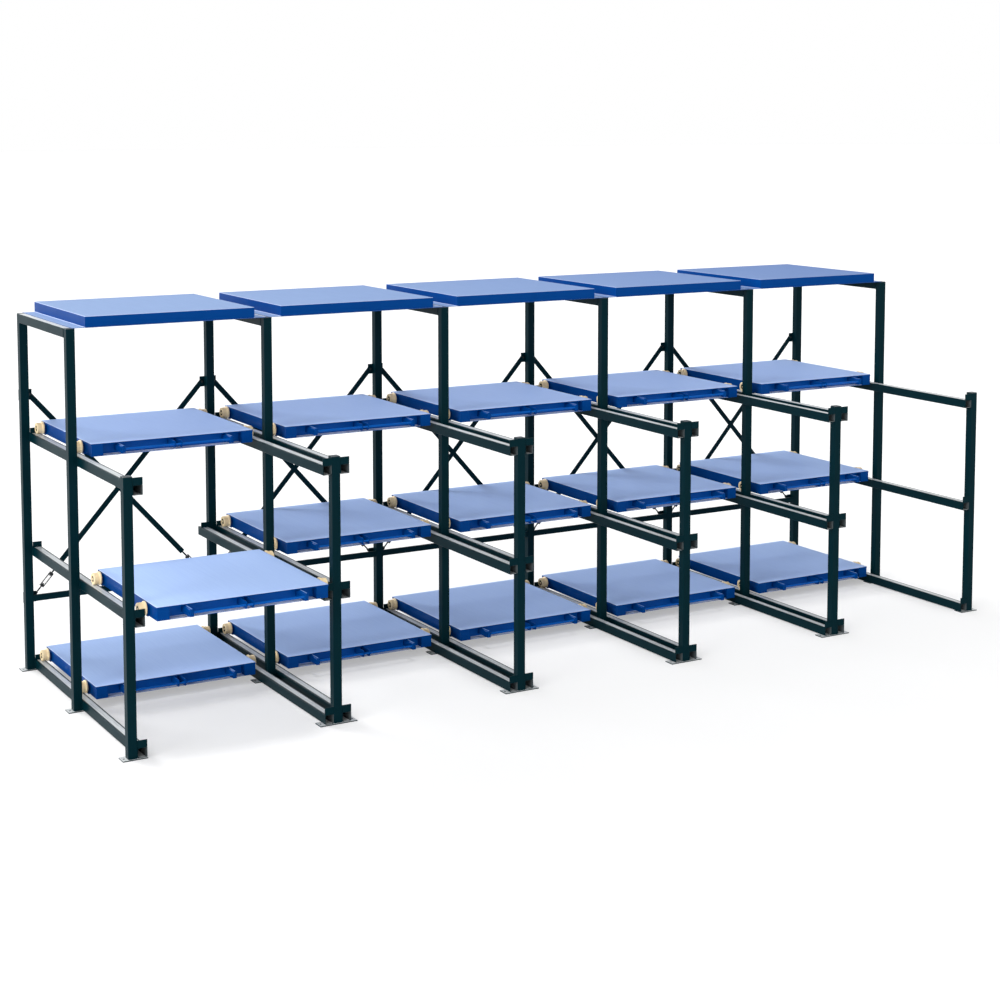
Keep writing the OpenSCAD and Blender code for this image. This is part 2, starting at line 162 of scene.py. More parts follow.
def edge_at(**places):
    """A test for edges whose two ends both lie at these places, such as z=0."""
    return lambda a, b: all(near(getattr(end, axis), place)
                            for axis, place in places.items() for end in (a, b))


print("places are the same within", CLOSE, "mm")

# %% [markdown]
# ## Tools for shaping
# A piece starts as a box at its size and place. Bends are bevels, folds are extrusions, and a modifier gives
# clean shading at the end.

# %% Shape


def block(name, low, high):
    """A box from one corner to the other, in millimetres."""
    deselect_all()
    middle = [mid_of(a, b) * MM for a, b in zip(low, high)]
    size = [(b - a) * MM for a, b in zip(low, high)]
    bpy.ops.mesh.primitive_cube_add(size=1, location=middle, scale=size)
    piece = bpy.context.object
    piece.name = piece.data.name = name
    bpy.ops.object.transform_apply(location=True, rotation=True, scale=True)
    return piece


def bend(piece, test, radius, segments=3):
    """Rounds the edges that pass the test."""
    pick_edges(piece, test)
    bpy.ops.mesh.bevel(offset=radius * MM, segments=segments, affect="EDGES")
    return done(piece)


def pull(x, y, z):
    """Extrudes what is selected, by millimetres."""
    bpy.ops.mesh.extrude_region_move(TRANSFORM_OT_translate={"value": (x * MM, y * MM, z * MM)})


def take_away(piece, test):
    """Deletes the faces that pass the test."""
    pick_faces(piece, test)
    bpy.ops.mesh.delete(type="FACE")
    return done(piece)


def apply_modifier(piece, kind, **settings):
    make_active(piece)
    modifier = piece.modifiers.new(kind.title(), kind)
    for key, value in settings.items():
        setattr(modifier, key, value)
    bpy.ops.object.modifier_apply(modifier=modifier.name)
    return piece


def shade(piece, angle=35):
    make_active(piece)
    bpy.ops.object.shade_smooth_by_angle(angle=math.radians(angle))
    return apply_modifier(piece, "WEIGHTED_NORMAL", weight=100, keep_sharp=True)


def join(name, pieces):
    deselect_all()
    for piece in pieces:
        piece.select_set(True)
    bpy.context.view_layer.objects.active = pieces[0]
    bpy.ops.object.join()
    pieces[0].name = pieces[0].data.name = name
    return pieces[0]


print("shaping tools ready")

# %% [markdown]
# ## Tools for copying and fitting
# What repeats is modelled once and copied, each copy with its own mesh. A finished piece is fitted: it gets
# its finish and its body, and the solids that it stands for are hidden.

# %% Copy and fit


def at(x, y, z):
    return Matrix.Translation(Vector((x, y, z)) * MM)


def copy_at(pattern, name, place):
    """A copy with its own mesh, moved in its mesh, so that the object stays at the origin."""
    mesh = pattern.data.copy()
    mesh.transform(place)
    mesh.name = name
    piece = bpy.data.objects.new(name, mesh)
    bpy.context.scene.collection.objects.link(piece)
    return piece


def remove(*patterns):
    for pattern in patterns:
        bpy.data.objects.remove(pattern)


def fit(piece, body, finish, slot, *nodes):
    """Gives a finished piece its finish and its body, and hides the solids that it stands for."""
    piece.data.materials.clear()
    piece.data.materials.append(finish)
    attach(piece, body)
    if nodes:
        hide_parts(*nodes)


print("copying tools ready")

# %% [markdown]
# ## Colours and nodes
# Colours are written as they are picked on screen, as sRGB hex values, and one function turns them to the
# linear values that a shader needs. A second function adds a node with its settings and links, so that each
# finish below reads as a list of its layers.

# %% Colour and node tools


def linear(code):
    channels = [int(code[i:i + 2], 16) / 255 for i in (1, 3, 5)]
    return (*(c / 12.92 if c <= 0.04045 else ((c + 0.055) / 1.055) ** 2.4 for c in channels), 1.0)


def add_node(tree, kind, inputs=(), **settings):
    node = tree.nodes.new(kind)
    for key, value in settings.items():
        setattr(node, key, value)
    for key, value in dict(inputs).items():
        if isinstance(value, bpy.types.NodeSocket):
            tree.links.new(value, node.inputs[key])
        else:
            node.inputs[key].default_value = value
    return node


def new_finish(name):
    finish = bpy.data.materials.new(name)
    finish.use_nodes = True
    finish.node_tree.nodes.clear()
    return finish, finish.node_tree


def pattern_scale(size_mm):
    """Noise scale whose features are about this many millimetres across."""
    return 1 / (size_mm * MM)


print("middle grey as linear:", [round(c, 4) for c in linear("#808080")])

# %% [markdown]
# ## Powder coat
# Frame and shelves are powder coated: dry resin powder is sprayed on and baked to one smooth skin. It gives
# the eye a deep even colour, a soft broad gloss that grows towards grazing angles, and a faint orange peel.
# The resin's own IOR is about 1.5, but this room is white all round, and the full mirror of it would veil the
# deep colours. A lower IOR keeps them as dark as the picture shows them. The colour clouds slightly over a
# hand's breadth, and the roughness with it. The peel is 1 to 2 mm on the real coat, and is drawn 5 mm wide
# here, because finer waves would vanish at this distance. A coat is given as its colour, its darker cloud,
# its IOR and its roughness.

# %% Powder-coat finishes
CLOUD_MM, PEEL_MM, PEEL_DEPTH_MM, GLOSS_SPREAD = 160, 5, 0.03, 0.04
ANTHRACITE = ("#03262D", "#021E25", 1.1, 0.3)
SHELF_BLUE = ("#004088", "#003A7E", 1.1, 0.32)
# The web's coat is a brighter copy of the shelf blue, painted light for the shade under the deck.
WEB_BLUE_PAINTED_LIGHT = ("#0055AE", "#004CA0", 1.15, 0.32)
GRIP_BLUE = ("#0356AE", "#024E9E", 1.15, 0.25)


def powder_coat(name, colour, deep, ior, gloss):
    """Returns the finish with its tree, its shader and the socket of its colour."""
    finish, tree = new_finish(name)
    place = add_node(tree, "ShaderNodeTexCoord").outputs["Object"]
    cloud = add_node(tree, "ShaderNodeTexNoise", {
        "Vector": place, "Scale": pattern_scale(CLOUD_MM), "Detail": 3.0, "Roughness": 0.55})
    tint = add_node(tree, "ShaderNodeMix", {
        "Factor": cloud.outputs["Fac"], "A": linear(deep), "B": linear(colour)}, data_type="RGBA")
    sheen = add_node(tree, "ShaderNodeMapRange", {
        "Value": cloud.outputs["Fac"], "To Min": gloss + GLOSS_SPREAD, "To Max": gloss - GLOSS_SPREAD})
    peel = add_node(tree, "ShaderNodeTexNoise", {
        "Vector": place, "Scale": pattern_scale(PEEL_MM), "Detail": 1.0})
    skin = add_node(tree, "ShaderNodeBump", {
        "Strength": 0.5, "Distance": PEEL_DEPTH_MM * MM, "Height": peel.outputs["Fac"]})
    shader = add_node(tree, "ShaderNodeBsdfPrincipled", {
        "Base Color": tint.outputs["Result"], "Roughness": sheen.outputs["Result"],
        "Normal": skin.outputs["Normal"], "IOR": ior})
    add_node(tree, "ShaderNodeOutputMaterial", {"Surface": shader.outputs["BSDF"]})
    return finish, tree, shader, tint.outputs["Result"]


anthracite = powder_coat("anthracite_powder_coat", *ANTHRACITE)[0]
plain_blue = powder_coat("blue_powder_coat", *SHELF_BLUE)[0]
grip_blue = powder_coat("bright_blue_enamel", *GRIP_BLUE)[0]
print("coats:", anthracite.name, plain_blue.name, grip_blue.name)

# %% [markdown]
# ## Blue coat with painted light on top
# Every upper face of the blue coat is painted a pale, chalky tone, which is painted light: the light that
# falls on the tops. It is palest along the folds, a painted highlight, while sides and undersides keep the
# deep colour. The mask is the way that the surface faces, so it fits every shelf wherever it is pulled to. On
# the handle's narrow hoods only the very crest is painted pale, a painted highlight, so its mask starts
# later.
# The pull-out decks are painted paler than the top shelves, to make up for the shade of the shelves above
# them. The front web lies in shade under the deck and is painted a brighter blue, with a near-white flange
# top, to make up for that shade. Fine streaks, drawn 6 mm wide so that they show, run the way the goods are
# pushed.
# On the top shelves the pale tone weakens towards the right end, a painted fall-off of the light.

# %% Blue finish with painted light on top
RUB_MM, CHALK_ROUGH = (6, 260, 6), 0.55
# The fold colour is a painted highlight along the bends.
PAINTED_FOLD_HIGHLIGHT, FLAT_TILT = "#CBDAF8", (0.93, 0.985)


def blue_with_painted_light(name, dull, pale, coat=SHELF_BLUE, painted_light_tilts=(0.2, 0.6), right_end_light=1.0):
    """The hex colours are the ends of the pale tone, which is painted light. It comes in between the two
    upward tilts, and the last value is what is left of it at the right end of the rack, a painted fall-off of
    the light."""
    finish, tree, shader, paint = powder_coat(name, *coat)
    place = add_node(tree, "ShaderNodeTexCoord").outputs["Object"]
    facing = add_node(tree, "ShaderNodeSeparateXYZ", {
        "Vector": add_node(tree, "ShaderNodeNewGeometry").outputs["Normal"]})
    # The pale tone on the upper faces is painted light, the light that falls on the tops.
    upper = add_node(tree, "ShaderNodeMapRange", {
        "Value": facing.outputs["Z"], "From Min": painted_light_tilts[0], "From Max": painted_light_tilts[1]})
    # The tone weakening towards the right end is a painted fall-off of the light.
    painted_falloff = add_node(tree, "ShaderNodeMapRange", {
        "Value": add_node(tree, "ShaderNodeSeparateXYZ", {"Vector": place}).outputs["X"],
        "From Min": frame_xs[0] * MM, "From Max": frame_xs[-1] * MM, "To Min": 1.0, "To Max": right_end_light})
    painted_light_mask = add_node(tree, "ShaderNodeMath", {
        0: upper.outputs[0], 1: painted_falloff.outputs[0]}, operation="MULTIPLY")
    flat = add_node(tree, "ShaderNodeMapRange", {
        "Value": facing.outputs["Z"], "From Min": FLAT_TILT[0], "From Max": FLAT_TILT[1]})
    streaks = add_node(tree, "ShaderNodeTexNoise", {
        "Vector": add_node(tree, "ShaderNodeMapping", {
            "Vector": place, "Scale": [pattern_scale(size) for size in RUB_MM]}).outputs[0],
        "Scale": 1.0, "Detail": 3.0})
    painted_pale_tone = add_node(tree, "ShaderNodeMix", {
        "Factor": streaks.outputs["Fac"], "A": linear(dull), "B": linear(pale)}, data_type="RGBA")
    # Painted light on the tops, with a painted highlight on the folds.
    painted_top_light = add_node(tree, "ShaderNodeMix", {
        "Factor": flat.outputs["Result"], "A": linear(PAINTED_FOLD_HIGHLIGHT), "B": painted_pale_tone.outputs["Result"]},
        data_type="RGBA")
    colour = add_node(tree, "ShaderNodeMix", {
        "Factor": painted_light_mask.outputs[0], "A": paint, "B": painted_top_light.outputs["Result"]}, data_type="RGBA")
    chalky = add_node(tree, "ShaderNodeMix", {
        "Factor": upper.outputs["Result"], "A": shader.inputs["Roughness"].links[0].from_socket,
        "B": CHALK_ROUGH})
    tree.links.new(colour.outputs["Result"], shader.inputs["Base Color"])
    tree.links.new(chalky.outputs["Result"], shader.inputs["Roughness"])
    return finish


# All four tones are painted light: pale tops, paler on the shaded pull-out decks than on the top shelves,
# a painted highlight on the crests, and a brighter web and flange to make up for the shade under the deck.
blue = blue_with_painted_light("blue_powder_coat_pale_painted_light", "#A6C2F3", "#B5CFFA")
top_blue = blue_with_painted_light("blue_powder_coat_dimmer_painted_light", "#7F97BF", "#8DA5CD", right_end_light=0.48)
crest_blue = blue_with_painted_light("blue_powder_coat_painted_crest_highlight", "#7BA2DC", "#8DB2E8", painted_light_tilts=(0.975, 0.998))
web_blue_painted_light = blue_with_painted_light("blue_powder_coat_brighter_in_shade", "#DCE9FF", "#EAF3FF", coat=WEB_BLUE_PAINTED_LIGHT)
print("shelf finishes:", blue.name, top_blue.name, crest_blue.name, web_blue_painted_light.name)

# %% [markdown]
# ## Anthracite coat, light grey on top
# The rollers run along the middle of the rails and polish the paint away there, so their track is bare drawn
# steel, light grey and streaked along the rail; that light grey is also painted light, the light that falls
# on the tops. The light grey tops of the base plates and beams are painted light only. Sides and bent corners
# stay anthracite. One mask picks the upward faces. On the rails a second one keeps the light grey to the
# rollers' track, by the distance across from the middle of the nearest rail. Sprayed powder hardly reaches
# into a tube, so a third one, that finds the inside of the rails, leaves the coat thin there; its paler tone
# inside is also painted light against the shade in the tube.

# %% Worn coats with painted light
# The light grey on upper faces is painted light, and in the rails' track also real wear.
TRACK_HALF, TRACK_EDGE, INSIDE_RAIL, THIN_COAT_AND_PAINTED_LIGHT = 14, 3, 22.6, 0.14
STREAK_MM, PALE_STEEL_AND_PAINTED_LIGHT, BARE_METALLIC = (4, 160, 4), ("#B4BABC", "#E6E9EA"), 0.2
TOP_TILT, STREAK_RANGE, STREAK_LEAST = (0.8, 0.95), (0.2, 0.5), 0.6


def worn_and_painted_light_coat(name, in_track):
    """Light grey steel on the upper faces, or only in the rollers' track on them: painted light, and in the
    track also wear.
    """
    finish, tree, shader, paint = powder_coat(name, *ANTHRACITE)
    place = add_node(tree, "ShaderNodeTexCoord").outputs["Object"]
    up = add_node(tree, "ShaderNodeSeparateXYZ", {
        "Vector": add_node(tree, "ShaderNodeNewGeometry").outputs["Normal"]})
    # Upward faces turn light grey: painted light, and in the rails' track also wear.
    top = add_node(tree, "ShaderNodeMapRange", {
        "Value": up.outputs["Z"], "From Min": TOP_TILT[0], "From Max": TOP_TILT[1]})
    streaks = add_node(tree, "ShaderNodeTexNoise", {
        "Vector": add_node(tree, "ShaderNodeMapping", {
            "Vector": place, "Scale": [pattern_scale(size) for size in STREAK_MM]}).outputs[0],
        "Scale": 1.0, "Detail": 4.0})
    streak_share = add_node(tree, "ShaderNodeMapRange", {
        "Value": streaks.outputs["Fac"], "From Min": STREAK_RANGE[0], "From Max": STREAK_RANGE[1],
        "To Min": STREAK_LEAST})
    bare_and_painted_light = add_node(tree, "ShaderNodeMath", {0: top.outputs[0], 1: streak_share.outputs[0]}, operation="MULTIPLY")
    if in_track:
        split = add_node(tree, "ShaderNodeSeparateXYZ", {"Vector": place})
        across = add_node(tree, "ShaderNodeMath", {
            0: split.outputs["X"], 1: BAYS / 2 * BAY_PITCH * MM}, operation="ADD")
        across = add_node(tree, "ShaderNodeMath", {
            0: across.outputs[0], 1: BAY_PITCH / 2 * MM}, operation="PINGPONG")
        across = add_node(tree, "ShaderNodeMath", {
            0: across.outputs[0], 1: RAIL_X * MM}, operation="SUBTRACT")
        across = add_node(tree, "ShaderNodeMath", {0: across.outputs[0]}, operation="ABSOLUTE")
        track = add_node(tree, "ShaderNodeMapRange", {
            "Value": across.outputs[0], "From Min": (TRACK_HALF + TRACK_EDGE) * MM,
            "From Max": TRACK_HALF * MM})
        bare_and_painted_light = add_node(tree, "ShaderNodeMath", {
            0: bare_and_painted_light.outputs[0], 1: track.outputs[0]}, operation="MULTIPLY")
        climb = add_node(tree, "ShaderNodeMath", {
            0: split.outputs["Z"], 1: RAIL_Z * MM}, operation="SUBTRACT")
        climb = add_node(tree, "ShaderNodeMath", {
            0: climb.outputs[0], 1: LEVEL_PITCH / 2 * MM}, operation="PINGPONG")
        far = add_node(tree, "ShaderNodeMath", {
            0: across.outputs[0], 1: climb.outputs[0]}, operation="MAXIMUM")
        # The paler inside of the rails is partly a thin coat and partly painted light against the shade in
        # the tube.
        inside = add_node(tree, "ShaderNodeMath", {
            0: far.outputs[0], 1: INSIDE_RAIL * MM}, operation="LESS_THAN")
        thin_coat_and_painted_light = add_node(tree, "ShaderNodeMath", {0: inside.outputs[0], 1: THIN_COAT_AND_PAINTED_LIGHT}, operation="MULTIPLY")
        bare_and_painted_light = add_node(tree, "ShaderNodeMath", {
            0: bare_and_painted_light.outputs[0], 1: thin_coat_and_painted_light.outputs[0]}, operation="MAXIMUM")
    steel = add_node(tree, "ShaderNodeMix", {
        "Factor": streaks.outputs["Fac"], "A": linear(PALE_STEEL_AND_PAINTED_LIGHT[0]), "B": linear(PALE_STEEL_AND_PAINTED_LIGHT[1])},
        data_type="RGBA")
    colour = add_node(tree, "ShaderNodeMix", {
        "Factor": bare_and_painted_light.outputs[0], "A": paint, "B": steel.outputs["Result"]}, data_type="RGBA")
    metal = add_node(tree, "ShaderNodeMath", {0: bare_and_painted_light.outputs[0], 1: BARE_METALLIC}, operation="MULTIPLY")
    tree.links.new(colour.outputs["Result"], shader.inputs["Base Color"])
    tree.links.new(metal.outputs[0], shader.inputs["Metallic"])
    return finish


rail_finish = worn_and_painted_light_coat("anthracite_coat_worn_and_painted_light_on_track", True)
painted_light_top_anthracite = worn_and_painted_light_coat("anthracite_coat_painted_light_on_top", False)
print("worn finishes:", rail_finish.name, painted_light_top_anthracite.name)

# %% [markdown]
# ## Roller plastic and plain steel
# The rollers are cast cream polyamide, finished on a lathe: a warm matt plastic with fine rings round its
# axis, IOR about 1.53. The rings are drawn 2 mm apart so that they show. The bolts and turnbuckles are
# blackened steel: a dark oxide over metal, with a satin sheen. The axles carry the same oxide, nearly black,
# which is partly their own colour and partly painted shade in the recess of the roller. The caps on the
# uprights are moulded polyethylene.

# %% Plastic and steel finishes
CREAM, CREAM_CLOUD_MM, RING_MM, RING_DEPTH_MM = ("#FFE0AC", "#FFEFC8"), 25, 2, 0.02
OXIDE_CLOUD_MM, SATIN = 12, (0.52, 0.36)
CAP_BLACK = ("#1A2A30", "#15242A", 1.51, 0.42)


def cast_polyamide():
    finish, tree = new_finish("turned_cream_polyamide")
    place = add_node(tree, "ShaderNodeTexCoord").outputs["Object"]
    cloud = add_node(tree, "ShaderNodeTexNoise", {
        "Vector": place, "Scale": pattern_scale(CREAM_CLOUD_MM), "Detail": 2.0})
    tint = add_node(tree, "ShaderNodeMix", {
        "Factor": cloud.outputs["Fac"], "A": linear(CREAM[0]), "B": linear(CREAM[1])}, data_type="RGBA")
    rings = add_node(tree, "ShaderNodeTexWave", {
        "Vector": place, "Scale": pattern_scale(RING_MM) / math.tau, "Distortion": 0.4},
        bands_direction="X")
    skin = add_node(tree, "ShaderNodeBump", {
        "Strength": 0.4, "Distance": RING_DEPTH_MM * MM, "Height": rings.outputs["Fac"]})
    shader = add_node(tree, "ShaderNodeBsdfPrincipled", {
        "Base Color": tint.outputs["Result"], "Roughness": 0.48, "IOR": 1.53,
        "Normal": skin.outputs["Normal"]})
    add_node(tree, "ShaderNodeOutputMaterial", {"Surface": shader.outputs["BSDF"]})
    return finish


def blackened_steel(name, dark, light, metal, ior):
    finish, tree = new_finish(name)
    place = add_node(tree, "ShaderNodeTexCoord").outputs["Object"]
    cloud = add_node(tree, "ShaderNodeTexNoise", {
        "Vector": place, "Scale": pattern_scale(OXIDE_CLOUD_MM), "Detail": 4.0})
    tint = add_node(tree, "ShaderNodeMix", {
        "Factor": cloud.outputs["Fac"], "A": linear(dark), "B": linear(light)}, data_type="RGBA")
    satin = add_node(tree, "ShaderNodeMapRange", {
        "Value": cloud.outputs["Fac"], "To Min": SATIN[0], "To Max": SATIN[1]})
    shader = add_node(tree, "ShaderNodeBsdfPrincipled", {
        "Base Color": tint.outputs["Result"], "Roughness": satin.outputs["Result"], "Metallic": metal,
        "IOR": ior})
    add_node(tree, "ShaderNodeOutputMaterial", {"Surface": shader.outputs["BSDF"]})
    return finish


polyamide = cast_polyamide()
black_steel = blackened_steel("blackened_steel", "#101416", "#24292C", metal=0.2, ior=1.5)
# The axles' near-black is partly their oxide and partly painted shade in the rollers' recess.
axle_steel = blackened_steel("black_oxide_steel_with_painted_shade", "#07090A", "#0F1213", metal=0.0, ior=1.15)
cap_plastic = powder_coat("moulded_polyethylene_cap", *CAP_BLACK)[0]
print("finishes:", len(bpy.data.materials))

# %% [markdown]
# ## The standing frame
# Uprights, rails, base plates, stops, beams, bars and brackets are tube, strip and plate whose solids already
# have the right shape, with bent tube corners and drilled holes. Rebuilding them would add nothing, so they
# stay and only get their finish.

# %% Dress the frame solids
# The light grey tops of the base plates and beams are painted light.
STAYING = {
    "rear_uprights": anthracite, "middle_uprights": anthracite, "front_uprights": anthracite,
    "base_plates": painted_light_top_anthracite, "runner_rails": rail_finish, "front_stops": anthracite,
    "rear_stops": anthracite, "top_beams": painted_light_top_anthracite, "brace_bars": anthracite, "tie_bars": anthracite,
    "brace_brackets": anthracite, "frame_bolts": black_steel}
for node, finish in STAYING.items():
    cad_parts[node].material_slots[0].material = finish
print("dressed:", ", ".join(STAYING))

# %% [markdown]
# ## Caps on the uprights
# Every upright is closed by a moulded cap with round corners and a soft top edge. A box with two bevels is
# the short way: first the four corners, with the tube's own radius, then the rim of the top.

# %% Upright caps
CAP_T, CAP_CORNER_R, CAP_RIM_R = 3, 3, 1.4

cap = block("cap_pattern", (-UPRIGHT_W / 2, -UPRIGHT_D / 2, -CAP_T), (UPRIGHT_W / 2, UPRIGHT_D / 2, 0))
bend(cap, along(Z), CAP_CORNER_R, segments=4)
bend(cap, edge_at(z=0), CAP_RIM_R)
caps = []
for row, y in post_ys.items():
    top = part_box(row + "_uprights")[1].z / MM + CAP_T
    caps += [copy_at(cap, "cap", at(x, y, top)) for x in frame_xs]
remove(cap)
caps = shade(join("upright_caps_moulded", caps))
fit(caps, "rack", cap_plastic, "frame_paint", "upright_caps")
print("caps: faces", len(caps.data.polygons))

# %% [markdown]
# ## Weld beads
# A side frame is one welding. Beads run along the feet of the uprights, up the corners between uprights and
# rails, and behind the stop plates. A bead is a short strip whose free edge is rounded, modelled lying along
# X in the corner between a floor and a wall, and turned into the other corners as it is copied. The end
# frames have a bay, and so rails, on one side only.

# %% Weld beads
BEAD, BEAD_ROUND, END_CLEAR = 4, 0.9, 3
HALF_TURN = Matrix.Rotation(math.pi, 4, "Z")
STAND_LEFT = Matrix.Rotation(math.pi / 2, 4, "Y")
STAND_RIGHT = Matrix.Rotation(-math.pi / 2, 4, "Y")


def bead(length):
    strip = block("bead_pattern", (-length / 2, 0, 0), (length / 2, BEAD, BEAD))
    return bend(strip, edge_at(y=BEAD, z=BEAD), BEAD * BEAD_ROUND, segments=4)


foot_bead, rail_bead = bead(UPRIGHT_W - 2 * END_CLEAR), bead(RAIL_H - 2 * END_CLEAR)
plate_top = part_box("base_plates")[1].z / MM
stop_ys = (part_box("front_stops")[1].y / MM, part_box("rear_stops")[1].y / MM)
beads = []
for k, x in enumerate(frame_xs):
    for y in post_ys.values():
        beads.append(copy_at(foot_bead, "bead", at(x, y + UPRIGHT_D / 2, plate_top)))
        beads.append(copy_at(foot_bead, "bead", at(x, y - UPRIGHT_D / 2, plate_top) @ HALF_TURN))
    for side, bay, stand, other in ((-1, k - 1, STAND_LEFT, STAND_RIGHT), (1, k, STAND_RIGHT, STAND_LEFT)):
        if not 0 <= bay < BAYS:
            continue
        corner = x + side * UPRIGHT_W / 2
        for level in range(len(LEVELS)):
            z = RAIL_Z + level * LEVEL_PITCH
            for row, y in post_ys.items():
                if row != "rear":
                    place = at(corner, y + UPRIGHT_D / 2, z) @ stand
                    beads.append(copy_at(rail_bead, "bead", place))
                if row != "front":
                    place = at(corner, y - UPRIGHT_D / 2, z) @ HALF_TURN @ other
                    beads.append(copy_at(rail_bead, "bead", place))
            for y in stop_ys:
                beads.append(copy_at(rail_bead, "bead", at(x + side * RAIL_X, y, z + RAIL_H / 2)))
remove(foot_bead, rail_bead)
bead_count = len(beads)
fit(shade(join("weld_beads", beads)), "rack", anthracite, "frame_paint")
print("weld beads:", bead_count)

# %% [markdown]
# ## Top shelves
# A top shelf is a hat folded from one sheet: a deep deck, two side flanges that lie on the beams, and a short
# lip at the front. The fold is modelled as it is made. A box loses its underside, the lower edges are pulled
# out to flanges, the folds get their bend radius, and last the shell gets the thickness of the sheet towards
# the inside.

# %% Top shelves
TOP_HALF, TOP_FLANGE, TOP_DEPTH, TOP_H, TOP_LIP = 465.5, 532.5, 896, 59, 6
BEND_R = 3


def fold_from_sheet(piece, wall=SHEET):
    """Gives an open shell the thickness of its sheet, towards the inside."""
    return apply_modifier(piece, "SOLIDIFY", thickness=wall * MM, offset=-1, use_even_offset=True)


hat = block("hat_pattern", (-TOP_HALF, 0, SHEET), (TOP_HALF, TOP_DEPTH, TOP_H))
take_away(hat, facing_down)
for side in (-1, 1):
    pick_edges(hat, edge_at(x=side * TOP_HALF, z=SHEET))
    pull(side * (TOP_FLANGE - TOP_HALF), 0, 0)
pick_edges(hat, lambda a, b: edge_at(y=0, z=SHEET)(a, b) and max(abs(a.x), abs(b.x)) < TOP_HALF + MARGIN)
pull(0, -TOP_LIP, 0)
done(hat)
bend(hat, edge_at(z=TOP_H), BEND_R)
bend(hat, lambda a, b: along(Y)(a, b) and near(abs(a.x), TOP_HALF) and near(a.z, SHEET), BEND_R)
fold_from_sheet(hat)
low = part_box("top_shelves")[0]
hats = [copy_at(hat, "hat", at(x, low.y / MM + TOP_LIP, low.z / MM)) for x in bay_xs]
remove(hat)
hats = shade(join("top_shelf_hats", hats))
fit(hats, "rack", top_blue, "shelf_paint", "top_shelves")
print("top shelves: faces", len(hats.data.polygons))

# %% [markdown]
# ## The tray of a pull-out shelf
# The tray is the piece that the eye meets first: a flat deck with a rim that stands a little proud of its
# side panels, and long shallow panels pressed into both sides. It starts as the rim box. Its underside is
# inset and pulled down, which leaves the rim standing out, and the side faces are inset and pushed in. At the
# front and the back the rim stands out less.

# %% Tray
RIM_H, FRONT_STEP = 12, 0.3
PANEL_INSET, PANEL_BORDER, PANEL_DEPTH = 3, 9, 1.2
PANEL_HALF = DECK_HALF - PANEL_INSET

tray = block("tray_pattern", (-DECK_HALF, 0, DECK_TOP - RIM_H), (DECK_HALF, DECK_DEPTH, DECK_TOP))
pick_faces(tray, facing_down)
bpy.ops.mesh.inset(thickness=PANEL_INSET * MM)
for y, way in ((PANEL_INSET, -1), (DECK_DEPTH - PANEL_INSET, 1)):
    pick_edges(tray, edge_at(y=y))
    bpy.ops.transform.translate(value=(0, way * (PANEL_INSET - FRONT_STEP) * MM, 0))
pick_faces(tray, lambda centre, normal: facing_down(centre, normal)
           and near(centre.x, 0) and near(centre.y, DECK_DEPTH / 2))
pull(0, 0, DECK_BOTTOM - DECK_TOP + RIM_H)
take_away(tray, lambda centre, normal: facing_down(centre, normal) and near(centre.z, DECK_BOTTOM))
pick_faces(tray, lambda centre, normal: abs(normal.x) > FACING and near(abs(centre.x), PANEL_HALF))
bpy.ops.mesh.inset(thickness=PANEL_BORDER * MM, depth=-PANEL_DEPTH * MM, use_individual=True,
                   use_boundary=False)
done(tray)
print("tray: faces", len(tray.data.polygons))

# %% [markdown]
# ## Front of the tray
# Between its corners the front is folded back to a channel: the deck ends in a narrow fold, the web stands
# 45 mm behind it, and a flange runs forward along the bottom, whose near-white top is a painted highlight.
# Three cuts mark the mouth of the channel on the front faces, and one extrusion pushes it back. Web and
# flange are then parted off as a strip of their own, which is how they are welded in, and both open shells
# get their bends and their sheet thickness. The strip is painted a brighter blue, to make up for the shade
# under the deck.

# %% Front channel
CORNER_W, FRONT_RECESS, FRONT_FOLD = 62, 45, 8
MOUTH_HALF = PANEL_HALF - CORNER_W
fold_low = DECK_TOP - FRONT_FOLD
web_y, flange_z = FRONT_STEP + FRONT_RECESS, DECK_BOTTOM + SHEET


def on_front(centre, normal):
    return centre.y < MARGIN


def slice_faces(piece, test, point, normal):
    """Cuts the faces that pass the test along the plane through a point (mm)."""
    pick_faces(piece, test)
    bpy.ops.mesh.bisect(plane_co=Vector(point) * MM, plane_no=normal)
    return done(piece)


slice_faces(tray, on_front, (0, 0, fold_low), (0, 0, 1))
for side in (-1, 1):
    slice_faces(tray, on_front, (side * MOUTH_HALF, 0, 0), (1, 0, 0))
pick_faces(tray, lambda centre, normal: on_front(centre, normal)
           and near(centre.x, 0) and centre.z < fold_low)
pull(0, FRONT_RECESS, 0)
pick_edges(tray, lambda a, b: edge_at(z=DECK_BOTTOM)(a, b)
           and max(abs(a.x), abs(b.x)) < MOUTH_HALF + MARGIN)
bpy.ops.transform.translate(value=(0, 0, SHEET * MM))
done(tray)
bend(tray, edge_at(y=web_y, z=flange_z), BEND_R)
bend(tray, edge_at(z=DECK_TOP), BEND_R)
pick_faces(tray, lambda centre, normal: MARGIN / 2 < centre.y < web_y + MARGIN
           and centre.z < fold_low - MARGIN and abs(normal.x) < FACING)
bpy.ops.mesh.separate(type="SELECTED")
web = next(piece for piece in bpy.context.selected_objects if piece != tray)
shade(fold_from_sheet(tray))
shade(fold_from_sheet(web))
print("tray and web: faces", len(tray.data.polygons), len(web.data.polygons))

# %% [markdown]
# ## Corner plates
# A plate is welded over each front corner of the tray, beside the mouth of the channel. It is cut from strip
# and filed, so a block whose edges are all broken is enough.

# %% Corner plates
CORNER_T, FILED = 1.5, 0.5


def break_edges(piece, radius):
    """Takes the sharpness off every edge, as filing and paint do."""
    return bend(piece, lambda a, b: True, radius, segments=2)


